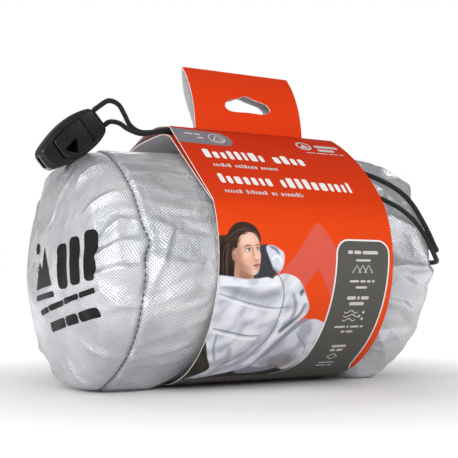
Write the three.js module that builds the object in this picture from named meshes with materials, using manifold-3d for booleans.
// Packed bivy sack: a round silver stuff sack lying on its side, with a card sleeve, a hang tab,
// a drawcord and a whistle. Millimetres, +Z up, X along the sack from its base to its mouth.
import * as THREE from 'three';
import { mergeVertices } from 'three/addons/utils/BufferGeometryUtils.js';
import Module from 'manifold-3d';

const wasm = await Module();
wasm.setup();

// ---- Driving dimensions ----------------------------------------------------------------------
const AXIS_Z = 64.5;            // height of the sack's long axis
const CLOTH = 0.8;              // modelled thickness of the sack's fabric
const AROUND = 44;              // facets around the sack
const BASE_SEAM_X = -73;        // plane where the round base is sewn to the wall
const BASE_BULGE = 32;          // how far the stuffed base domes out past its seam
const BASE_RADIUS = 58;
const BASE_AXIS_Z = 58.5;
const SEAM_GAP = 0.3;           // clearance kept between touching pieces

const SLEEVE_LEFT = -41;
const SLEEVE_RIGHT = 60;
const SLEEVE_RADIUS = 63.4;     // middle of the card's thickness
const CARD = 0.45;
const CREASE = [-57.9, 91.0];   // [y, z] of the fold between the round front and the flat top panel
const RIDGE = [-10.8, 132.4];
const PANEL_BULGE = 4.4;        // how far the cord pushes the top panel out at its right edge

const TAB_LEFT = -26;
const TAB_RIGHT = 40;
const HOLE_CENTRE_X = 7;
const HOLE_WIDTH = 28;

const CORD_RADIUS = 1.3;
const CORD_SIDES = 8;
const CORD_EXIT_SPREAD = 4.5;   // half the distance between the two cord holes in the whistle
const WHISTLE_PIVOT = new THREE.Vector3(-78.0, -6, 133.4);
const WHISTLE_TILT = THREE.MathUtils.degToRad(40);
const WHISTLE_LENGTH = 37;
const WHISTLE_THICKNESS = 10.4;

const HEM_X = 99.6;             // where the gathered hem starts, in the dimple of the mouth
const HEM_LENGTH = 5.4;
const CHANNEL_RADIUS = 11.2;    // radius of the drawcord inside the gathered hem

const bivy = new THREE.Group();

function finish(name, colour, roughness, metalness, geometry, parent = bivy) {
  const material = new THREE.MeshStandardMaterial({ color: colour, roughness, metalness });
  const mesh = new THREE.Mesh(geometry, material);
  mesh.name = name;
  parent.add(mesh);
  return mesh;
}

const v = (x, y, z) => new THREE.Vector3(x, y, z);
const { degToRad } = THREE.MathUtils;

const SILVER = 0xc4c6c9;
const ORANGE = 0xe4471c;
const BLACK = 0x161616;

// ---- Closed solids from rings of points --------------------------------------------------------
// rings: equally long closed loops of Vector3, joined one to the next.
function joinRings(rings, steps) {
  const count = rings[0].length;
  const faces = [];
  for (let i = 0; i < steps; i++) {
    const a = i * count;
    const b = ((i + 1) % rings.length) * count;
    for (let j = 0; j < count; j++) {
      const k = (j + 1) % count;
      faces.push(a + j, a + k, b + k, a + j, b + k, b + j);
    }
  }
  return faces;
}

// The last ring joins back to the first.
function solidFromLoopOfRings(rings) {
  return facingOut(rings.flat(), joinRings(rings, rings.length));
}

const middleOf = (ring) => ring.reduce((sum, p) => sum.add(p), v(0, 0, 0)).divideScalar(ring.length);

// Both end rings are capped with a fan about a pole.
function solidFromCappedRings(rings, poles = [middleOf(rings[0]), middleOf(rings.at(-1))]) {
  const count = rings[0].length;
  const points = [...rings.flat(), ...poles];
  const faces = joinRings(rings, rings.length - 1);
  const [firstPole, lastPole] = [points.length - 2, points.length - 1];
  const lastRing = (rings.length - 1) * count;
  for (let j = 0; j < count; j++) {
    const k = (j + 1) % count;
    faces.push(firstPole, k, j, lastPole, lastRing + j, lastRing + k);
  }
  return facingOut(points, faces);
}

function facingOut(points, faces) {
  let volume = 0;
  for (let i = 0; i < faces.length; i += 3) {
    const [a, b, c] = [points[faces[i]], points[faces[i + 1]], points[faces[i + 2]]];
    volume += a.dot(b.clone().cross(c));
  }
  if (volume < 0) {
    for (let i = 0; i < faces.length; i += 3) [faces[i], faces[i + 1]] = [faces[i + 1], faces[i]];
  }
  const positions = points.flatMap((p) => p.toArray());
  const geometry = new THREE.BufferGeometry();
  geometry.setAttribute('position', new THREE.Float32BufferAttribute(positions, 3));
  geometry.setIndex(faces);
  return geometry;
}

// ---- Joins and cuts ----------------------------------------------------------------------------
function toManifold(source) {
  const bare = source.clone();
  bare.deleteAttribute('normal');
  bare.deleteAttribute('uv');
  const geometry = mergeVertices(bare, 1e-4);
  return new wasm.Manifold(new wasm.Mesh({
    numProp: 3,
    vertProperties: new Float32Array(geometry.attributes.position.array),
    triVerts: new Uint32Array(geometry.index.array),
  }));
}

function fromManifold(solid) {
  const { vertProperties, triVerts } = solid.getMesh();
  const geometry = new THREE.BufferGeometry();
  geometry.setAttribute('position', new THREE.BufferAttribute(new Float32Array(vertProperties), 3));
  geometry.setIndex(Array.from(triVerts));
  return geometry;
}

function cut(source, ...tools) {
  let solid = toManifold(source);
  for (const tool of tools) solid = solid.subtract(toManifold(tool));
  return fromManifold(solid);
}

// ---- The stuffed sack ----------------------------------------------------------------------------
// Each station: x, half width, top, bottom and the roundness of its section (2 is an ellipse).
// The bottom dips below zero where the cloth is pressed flat on the surface it lies on.
const WALL_STATIONS = [
  [-72.6, 58.2, 116.2, 0.8, 2.0],
  [-70, 60.5, 118, -0.5, 1.95],
  [-62, 63.5, 119.5, -1.2, 1.85],
  [-52, 64, 120.2, -1.2, 1.75],
  [-45, 63, 120, 0.4, 1.7],
  [SLEEVE_LEFT, 62.4, 120, 1.6, 1.7],
  [-8, 62.3, 120, 1.8, 1.7],
  [26, 62.3, 120, 1.8, 1.7],
  [SLEEVE_RIGHT, 62.3, 120, 1.8, 1.7],
  [66, 62.3, 122.5, 0, 1.85],
  [72, 62.8, 124.5, -1.2, 1.95],
  [82, 62.3, 124.3, -1.2, 2],
  [88, 60, 122, 1.6, 2],
  [95, 54, 116, 10, 2],
  [99, 45, 108.5, 20.5, 2],
  [101, 36, 100.5, 28.5, 2],
  [101.4, 27, 91.5, 37.5, 2],
  [100.8, 20, 84.5, 44.5, 2],
  [99.2, 15, 79.5, 49.5, 2],
];
const WALL_LAST_X = 95;         // where the wall has turned in fully toward the mouth

// The base is a blunt dome: depth runs from 0 at the seam to 1 at its tip.
function baseStations(steps) {
  const stations = [];
  for (let i = 0; i < steps; i++) {
    const depth = i / steps;
    const half = BASE_RADIUS * Math.cbrt(1 - depth ** 2.2);
    const x = BASE_SEAM_X - SEAM_GAP - BASE_BULGE * depth;
    stations.push([x, half, BASE_AXIS_Z + half, BASE_AXIS_Z - half, 2]);
  }
  return stations;
}

function sackPoint([x, halfWidth, top, bottom, roundness], angle, inset) {
  const middle = Math.min((top + bottom) / 2, AXIS_Z);
  const c = Math.cos(angle);
  const s = Math.sin(angle);
  const rise = (s > 0 ? top - middle : middle - bottom) - inset;
  const run = halfWidth - inset;
  const power = (Math.abs(c) / run) ** roundness + (Math.abs(s) / rise) ** roundness;
  const radius = power ** (-1 / roundness);
  return new THREE.Vector3(x, -radius * c, Math.max(middle + radius * s, inset));
}

function sackRing(station, inset) {
  const ring = [];
  for (let i = 0; i < AROUND; i++) {
    const angle = ((i + 0.5) / AROUND) * 2 * Math.PI;
    ring.push(sackPoint(station, angle, inset));
  }
  return ring;
}

// Past the sleeve the wall turns inward, so there its inner face also steps back along X.
function sackWall() {
  const outer = WALL_STATIONS.map((station) => sackRing(station, 0));
  const inner = WALL_STATIONS.map(([x, ...section]) => {
    const turned = THREE.MathUtils.clamp((x - SLEEVE_RIGHT) / (WALL_LAST_X - SLEEVE_RIGHT), 0, 1);
    return sackRing([x - CLOTH * turned, ...section], CLOTH);
  });
  return solidFromLoopOfRings([...outer, ...inner.reverse()]);
}

function sackBase() {
  const stations = baseStations(9);
  const outer = stations.map((station) => sackRing(station, 0));
  const inner = stations.map(([x, ...section], i) => sackRing([i ? x + CLOTH : x, ...section], CLOTH));
  const tip = v(BASE_SEAM_X - BASE_BULGE, 0, BASE_AXIS_Z);
  const innerTip = v(tip.x + CLOTH, tip.y, tip.z);
  return solidFromCappedRings([...inner.reverse(), ...outer], [innerTip, tip]);
}

// The turned-in edges of base and wall, stitched together and lying flat against the stuffing.
function baseSeamAllowance() {
  const ring = (x, reach) => sackRing([x, reach, BASE_AXIS_Z + reach, BASE_AXIS_Z - reach, 2], 0);
  const [left, right] = [BASE_SEAM_X + 0.6, BASE_SEAM_X + 1.8];
  const [outside, inside] = [BASE_RADIUS - 2, BASE_RADIUS - 5];
  return solidFromLoopOfRings([ring(left, outside), ring(right, outside), ring(right, inside),
    ring(left, inside)]);
}

// The lengthwise seam of the wall: a folded strip inside, low on the back.
function sideSeamAllowance() {
  const [from, to] = [degToRad(205), degToRad(214)];
  const [near, far] = [CLOTH + 0.7, CLOTH + 2];
  const stations = WALL_STATIONS.filter(([x]) => x > BASE_SEAM_X + 5 && x < 87);
  const rings = stations.map((station) => [
    sackPoint(station, from, near), sackPoint(station, to, near),
    sackPoint(station, to, far), sackPoint(station, from, far)]);
  return solidFromCappedRings(rings);
}

// The bivy itself, folded lengthwise and rolled: one thick strip wound in a spiral, its inner turns
// standing out at both ends.
function bivyRoll() {
  const turns = 4.72;
  const pitch = 9.4;            // distance between one turn and the next
  const stack = 9.0;            // thickness of the folded layers
  const firstRadius = 0.1;      // where the strip's inner face would start
  const coreRadius = 0.4;
  const centreZ = 61;
  const perTurn = 26;
  const count = Math.round(turns * perTurn);
  const rings = [];
  for (let i = 0; i <= count; i++) {
    const angle = (i / perTurn) * 2 * Math.PI;
    const inside = firstRadius + (pitch * i) / perTurn;
    const left = -97 + 28 * (i / count) ** 1.5;
    const right = 95 - 14 * (i / count) ** 2;
    const at = (x, r) => v(x, -r * Math.cos(angle), centreZ + r * Math.sin(angle));
    const inner = Math.max(inside, coreRadius);
    const outer = inside + stack;
    rings.push([at(left, inner), at(left, outer), at(right, outer), at(right, inner)]);
  }
  return solidFromCappedRings(rings);
}

// [y, z] at an angle about the sack's axis, counted from the front up over the top.
function polar(degrees, radius) {
  const angle = degToRad(degrees);
  return [-radius * Math.cos(angle), AXIS_Z + radius * Math.sin(angle)];
}

// ---- Gathered mouth ------------------------------------------------------------------------------
// The hem is turned over into a channel that is open along its outer edge, where the cord comes out.
function mouthHem() {
  const end = HEM_X + HEM_LENGTH;
  const fold = 0.9;
  const lip = 1;
  const [innerRadius, outerRadius] = [8, 14.4];
  const slit = [innerRadius + 1.4, outerRadius - 1.4];
  const profile = [[innerRadius, HEM_X], [outerRadius, HEM_X], [outerRadius, end], [slit[1], end],
    [slit[1], end - lip], [outerRadius - fold, end - lip], [outerRadius - fold, HEM_X + fold],
    [innerRadius + fold, HEM_X + fold], [innerRadius + fold, end - lip], [slit[0], end - lip],
    [slit[0], end], [innerRadius, end]];
  const points = profile.map(([radius, x]) => new THREE.Vector2(radius, x));
  points.push(points[0].clone());
  const geometry = new THREE.LatheGeometry(points, 32);
  geometry.rotateZ(-Math.PI / 2);
  geometry.translate(0, 0, AXIS_Z);
  return geometry;
}


// ---- Cords ---------------------------------------------------------------------------------------
function cordTube(points, steps) {
  const path = new THREE.CatmullRomCurve3(points, false, 'centripetal');
  const section = new THREE.Shape();
  for (let i = 0; i < CORD_SIDES; i++) {
    const angle = (i / CORD_SIDES) * 2 * Math.PI;
    const x = CORD_RADIUS * Math.cos(angle);
    const y = CORD_RADIUS * Math.sin(angle);
    if (i) section.lineTo(x, y);
    else section.moveTo(x, y);
  }
  section.closePath();
  return new THREE.ExtrudeGeometry(section, { steps, extrudePath: path, bevelEnabled: false });
}

function drawcordLoop() {
  const points = [];
  for (let degrees = 62; degrees <= 346; degrees += 14.2) {
    points.push(v(HEM_X + 2.9, ...polar(degrees, CHANNEL_RADIUS)));
  }
  return cordTube(points, 26);
}

// From the channel's slit, over the end face and the shoulder, under the sleeve's top panel and out
// at the ridge to the upper hole of the whistle.
const UPPER_TAIL = [
  v(104.4, -6.8, 73.2), v(108.6, -8.5, 73.6), v(110.4, -12.7, 74.4), v(108.9, -17.4, 75.2),
  v(106.0, -24.0, 75.8), v(104.2, -33.0, 75.2), v(102.4, -42.0, 73.0), v(99.2, -50.8, 71.0),
  v(94.4, -57.8, 70.4), v(89.0, -61.8, 72.8), v(85.0, -62.6, 78.5), v(81.8, -60.6, 86.0),
  v(78.8, -56.8, 94.2), v(75.0, -52.0, 100.8), v(69.0, -45.0, 106.8), v(60.0, -37.4, 112.0),
  v(48.0, -33.6, 114.7), v(36.0, -29.7, 116.8), v(24.0, -25.6, 119.2), v(12.0, -21.4, 122.0),
  v(0.0, -17.0, 125.2), v(-12.0, -11.6, 129.0), v(-24.0, -6.0, 131.0), v(-41.0, -3.6, 131.0),
  v(-48.0, -4.0, 129.6), v(-55.0, -5.0, 129.2), v(-60.5, -5.8, 132.0), v(-63.6, -6.0, 137.0),
  v(-67.0, -6.0, 141.8), v(-72.0, -6.0, 143.2), v(-77.6, -6.0, 139.6), v(-80.9, -6.0, 136.9),
];

// Its twin, lower on the shoulder, to the lower hole of the whistle.
const LOWER_TAIL = [
  v(104.4, -11.0, 65.6), v(108.6, -12.8, 65.4), v(110.4, -17.0, 65.2), v(108.6, -21.6, 65.0),
  v(105.2, -28.6, 64.8), v(103.4, -37.4, 64.4), v(100.6, -47.2, 64.0), v(95.6, -56.4, 64.6),
  v(89.2, -62.0, 67.2), v(84.6, -64.0, 71.8), v(81.0, -62.8, 78.6), v(76.8, -60.6, 85.2),
  v(70.0, -56.8, 91.8), v(60.0, -50.3, 98.0), v(48.0, -45.5, 102.5), v(36.0, -40.3, 107.0),
  v(24.0, -34.4, 111.8), v(12.0, -28.5, 116.4), v(0.0, -22.5, 121.0), v(-12.0, -16.5, 125.5),
  v(-24.0, -10.0, 130.0), v(-32.0, -7.8, 130.9), v(-41.0, -7.1, 130.9), v(-48.0, -7.5, 129.2),
  v(-55.5, -8.2, 127.6), v(-62.0, -7.6, 129.4), v(-67.0, -6.4, 132.4), v(-71.6, -6.0, 132.6),
  v(-75.1, -6.0, 130.0),
];

function cordPoints(route, endPoint) {
  return [...route.slice(0, -1), endPoint];
}

// ---- Card sleeve -----------------------------------------------------------------------------------
// Sections are drawn in the YZ plane as a line through the middle of the card, from the free edge of
// the inner lap over the roof, down the back, under the sack and up the front to the ridge.
const panelDirection = new THREE.Vector2(RIDGE[0] - CREASE[0], RIDGE[1] - CREASE[1]);
const panelNormal = new THREE.Vector2(-panelDirection.y, panelDirection.x).normalize();

function panelPoint(along, lift) {
  return [CREASE[0] + panelDirection.x * along + panelNormal.x * lift,
    CREASE[1] + panelDirection.y * along + panelNormal.y * lift];
}

// Above the back's middle the card leaves the round sack and rises toward the ridge.
const backRadius = (degrees) => SLEEVE_RADIUS + 8.4 * ((180 - degrees) / 59) ** 1.6;

// side runs from 0 at the sleeve's left edge to 1 at its right edge.
function wrapSection(side) {
  const line = [];
  for (const along of [0.03, 0.2, 0.4, 0.6, 0.8, 0.95]) {
    line.push(panelPoint(along, -(0.8 + 2.9 * along + 0.5 * side)));
  }
  line.push([-3.5, 129.2], [15, 128.7], [28, 127.5]);
  for (let degrees = 121; degrees < 180; degrees += 10) line.push(polar(degrees, backRadius(degrees)));
  for (let degrees = 180; degrees < 384; degrees += 8.5) line.push(polar(degrees, SLEEVE_RADIUS));
  for (const along of [0, 0.14, 0.28, 0.42, 0.56, 0.7, 0.85, 1]) {
    line.push(panelPoint(along, PANEL_BULGE * side * 4 * along * (1 - along)));
  }
  return line;
}

const FLAP_LIFT = 1.25;         // height of the back flap's middle over the wrap's middle
const GLUE_LIFT = 0.61;

function flapSection() {
  const line = [[-7.6, 132.9], [5, 134.0], [15, 132.9], [26, 130.6]];
  for (let degrees = 122; degrees <= 160; degrees += 6.3) {
    line.push(polar(degrees, backRadius(degrees) + FLAP_LIFT));
  }
  return line;
}

function glueSection() {
  const line = [];
  for (let degrees = 144; degrees <= 156; degrees += 3) {
    line.push(polar(degrees, backRadius(degrees) + GLUE_LIFT));
  }
  return line;
}

// Thickens a line to a strip's outline, square to the line at every point.
function thicken(line, thickness) {
  const outer = [];
  const inner = [];
  line.forEach(([y, z], i) => {
    const before = line[Math.max(i - 1, 0)];
    const after = line[Math.min(i + 1, line.length - 1)];
    const along = new THREE.Vector2(after[0] - before[0], after[1] - before[1]).normalize();
    const [ny, nz] = [(-along.y * thickness) / 2, (along.x * thickness) / 2];
    outer.push([y + ny, z + nz]);
    inner.unshift([y - ny, z - nz]);
  });
  return [...outer, ...inner];
}

// A strip of card between two sections. Its ends are closed segment by segment along the strip.
function strip(leftLine, rightLine, leftX, rightX, thickness) {
  const count = leftLine.length;
  const outlines = [[leftX, thicken(leftLine, thickness)], [rightX, thicken(rightLine, thickness)]];
  const points = outlines.flatMap(([x, outline]) => outline.map(([y, z]) => v(x, y, z)));
  const size = 2 * count;
  const faces = [];
  for (let j = 0; j < size; j++) {
    const k = (j + 1) % size;
    faces.push(j, k, size + k, j, size + k, size + j);
  }
  for (let j = 0; j < count - 1; j++) {
    const opposite = size - 1 - j;
    const corners = [j, opposite, j + 1, j + 1, opposite, opposite - 1];
    faces.push(...corners, ...corners.map((corner) => size + corner).reverse());
  }
  return facingOut(points, faces);
}

function evenStrip(line, leftX, rightX, thickness) {
  return strip(line, line, leftX, rightX, thickness);
}

// ---- Hang tab ----------------------------------------------------------------------------------------
// Front and back leaf meet at the top fold and at the crease, and bow apart between them.
const FRONT_LEAF = [[-10.5, 134], [-9.8, 140], [-8.1, 147], [-5.2, 154], [-1.2, 161], [4.4, 168]];
const BACK_LEAF = [[-8.7, 134], [-5.4, 139.5], [-1.8, 145], [1.8, 151.5], [4.3, 158.5], [5.2, 163.5],
  [5.35, 168]];

// The usual three-sided retail hole: flat at the bottom, a rounded peak at the top.
function hangHole() {
  const half = HOLE_WIDTH / 2;
  const [bottom, corner, tip, shoulder, peak] = [143.9, 144.6, 148.3, 152.4, 154.2];
  const middle = HOLE_CENTRE_X;
  const shape = new THREE.Shape();
  shape.moveTo(middle - half + 3, bottom);
  shape.lineTo(middle + half - 3, bottom);
  shape.quadraticCurveTo(middle + half + 1.2, corner, middle + half - 0.6, tip);
  shape.lineTo(middle + 4, shoulder);
  shape.quadraticCurveTo(middle, peak, middle - 4, shoulder);
  shape.lineTo(middle - half + 0.6, tip);
  shape.quadraticCurveTo(middle - half - 1.2, corner, middle - half + 3, bottom);
  const depth = 40;
  const geometry = new THREE.ExtrudeGeometry(shape, { depth, bevelEnabled: false, curveSegments: 4 });
  geometry.rotateX(Math.PI / 2);
  geometry.translate(0, depth / 2, 0);
  return geometry;
}

const leaf = (line) => cut(evenStrip(line, TAB_LEFT, TAB_RIGHT, CARD), hangHole());

// ---- Whistle ---------------------------------------------------------------------------------------
// Drawn in its own frame: X from the cord end to the mouthpiece, Y across, Z through its thickness.
const WHISTLE_HALF_WIDTHS = [[0, 6], [2, 7.2], [7, 8.9], [13, 9.6], [19, 9.5], [25, 8.6], [31, 7.1],
  [35.4, 5.5], [WHISTLE_LENGTH, 4.2]];

function whistleOutline(inset, from, to) {
  const inside = WHISTLE_HALF_WIDTHS.filter(([x]) => x >= from && x <= to);
  const shape = new THREE.Shape();
  inside.forEach(([x, half], i) => {
    if (i) shape.lineTo(x, -(half - inset));
    else shape.moveTo(x, -(half - inset));
  });
  for (const [x, half] of [...inside].reverse()) shape.lineTo(x, half - inset);
  shape.closePath();
  return shape;
}

function airWindow(bottom, top) {
  const shape = new THREE.Shape();
  shape.moveTo(17.5, 0.2);
  shape.lineTo(25.5, 1.4);
  shape.lineTo(21.2, 6.4);
  shape.closePath();
  const geometry = new THREE.ExtrudeGeometry(shape, { depth: top - bottom, bevelEnabled: false });
  geometry.translate(0, 0, bottom);
  return geometry;
}

// The cord's half turn inside the whistle's end, from one of its two holes to the other.
function bightPoints(startX) {
  const points = [v(startX, -CORD_EXIT_SPREAD, 0)];
  for (let degrees = -90; degrees <= 90; degrees += 22.5) {
    const angle = degToRad(degrees);
    points.push(v(3.2 + CORD_EXIT_SPREAD * Math.cos(angle), CORD_EXIT_SPREAD * Math.sin(angle), 0));
  }
  points.push(v(startX, CORD_EXIT_SPREAD, 0));
  return points;
}

function cordPassage() {
  const path = new THREE.CatmullRomCurve3(bightPoints(-3), false, 'centripetal');
  const section = new THREE.Shape();
  section.absarc(0, 0, CORD_RADIUS + 0.5, 0, 2 * Math.PI);
  return new THREE.ExtrudeGeometry(section,
    { steps: 18, curveSegments: 5, extrudePath: path, bevelEnabled: false });
}

const CHAMBER_X = 20.6;

function whistleBody() {
  const bevel = 1.6;
  const depth = WHISTLE_THICKNESS - 2 * bevel;
  const body = new THREE.ExtrudeGeometry(whistleOutline(bevel, 0, WHISTLE_LENGTH),
    { depth, bevelThickness: bevel, bevelSize: bevel, bevelSegments: 2 });
  body.translate(0, 0, -depth / 2);
  const airway = new THREE.BoxGeometry(15, 6.4, 3.4);
  airway.translate(WHISTLE_LENGTH - 4, 0, 0);
  const chamber = new THREE.CylinderGeometry(6.4, 6.4, 6.6, 20);
  chamber.rotateX(Math.PI / 2);
  chamber.translate(CHAMBER_X, 0, 0);
  return cut(body, airway, chamber, airWindow(0, 9), cordPassage());
}

function whistleFrontPlate() {
  const bottom = WHISTLE_THICKNESS / 2 + SEAM_GAP;
  const depth = 1;
  const plate = new THREE.ExtrudeGeometry(whistleOutline(3, 7, 31), { depth, bevelEnabled: false });
  plate.translate(0, 0, bottom);
  return cut(plate, airWindow(bottom - depth, bottom + 2 * depth));
}

const towardMouthpiece = v(-Math.cos(WHISTLE_TILT), 0, -Math.sin(WHISTLE_TILT));
const across = v(Math.sin(WHISTLE_TILT), 0, -Math.cos(WHISTLE_TILT));

function placeWhistle() {
  const through = towardMouthpiece.clone().cross(across);
  const group = new THREE.Group();
  group.setRotationFromMatrix(new THREE.Matrix4().makeBasis(towardMouthpiece, across, through));
  group.position.copy(WHISTLE_PIVOT);
  bivy.add(group);
  return group;
}

// Where a tail meets the cord that loops through the whistle, just outside the cord end.
function whistleExit(sign) {
  return WHISTLE_PIVOT.clone()
    .addScaledVector(across, sign * CORD_EXIT_SPREAD)
    .addScaledVector(towardMouthpiece, -SEAM_GAP);
}

// ---- Assembly ------------------------------------------------------------------------------------------
finish('sack_wall', SILVER, 0.42, 0.7, sackWall());
finish('sack_base', SILVER, 0.4, 0.7, sackBase());
finish('base_seam_allowance', SILVER, 0.6, 0.4, baseSeamAllowance());
finish('side_seam_allowance', SILVER, 0.6, 0.4, sideSeamAllowance());
finish('bivy_roll', 0xb9bcc0, 0.5, 0.6, bivyRoll());
finish('mouth_hem', SILVER, 0.5, 0.6, mouthHem());
finish('drawcord_loop', BLACK, 0.9, 0, drawcordLoop());
finish('drawcord_upper_tail', BLACK, 0.9, 0, cordTube(cordPoints(UPPER_TAIL, whistleExit(-1)), 44));
finish('drawcord_lower_tail', BLACK, 0.9, 0, cordTube(cordPoints(LOWER_TAIL, whistleExit(1)), 36));

const wrap = strip(wrapSection(0), wrapSection(1), SLEEVE_LEFT, SLEEVE_RIGHT, CARD);
const flap = evenStrip(flapSection(), SLEEVE_LEFT, SLEEVE_RIGHT, CARD);
const glue = evenStrip(glueSection(), SLEEVE_LEFT + 4, SLEEVE_RIGHT - 4, 0.22);
finish('sleeve_wrap', ORANGE, 0.45, 0, wrap);
finish('sleeve_back_flap', ORANGE, 0.45, 0, flap);
finish('sleeve_glue_line', 0xd8cfa8, 0.5, 0, glue);
finish('hang_tab_front_leaf', ORANGE, 0.45, 0, leaf(FRONT_LEAF));
finish('hang_tab_back_leaf', ORANGE, 0.45, 0, leaf(BACK_LEAF));

const whistle = placeWhistle();
finish('whistle_body', BLACK, 0.4, 0, whistleBody(), whistle);
finish('whistle_front_plate', BLACK, 0.4, 0, whistleFrontPlate(), whistle);
finish('drawcord_bight', BLACK, 0.9, 0, cordTube(bightPoints(0.2), 16), whistle);

export default bivy;
